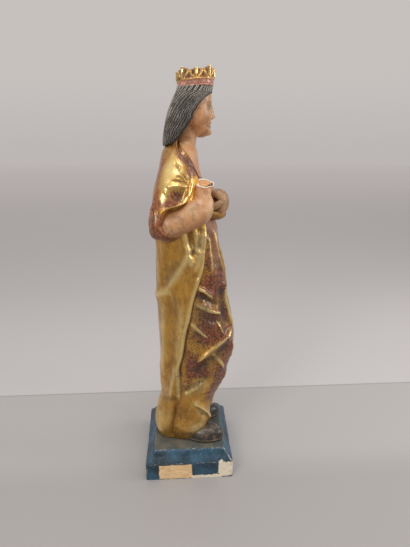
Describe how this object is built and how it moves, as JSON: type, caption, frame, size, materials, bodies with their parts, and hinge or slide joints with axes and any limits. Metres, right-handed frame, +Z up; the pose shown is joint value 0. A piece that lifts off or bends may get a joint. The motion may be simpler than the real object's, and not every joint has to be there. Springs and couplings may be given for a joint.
{
  "type": "crowned woman statuette",
  "caption": "Carved and gilded wooden statuette of a crowned standing woman in a long mantle, her raised hand broken away, on a moulded plinth.",
  "frame": {"origin": "middle of the plinth's underside", "axes": "+Z up, she faces -Y, her right hand is towards -X"},
  "size_m": [0.0968, 0.0947, 0.3978],
  "materials": {
    "figure": "worn gilding over red-brown bole and white gesso on carved wood, satin",
    "plinth": "worn blue paint over gesso on wood, chipped to bare wood in places"
  },
  "bodies": {
    "root": {"figure": "figure", "plinth": "plinth"}
  },
  "joints": []
}
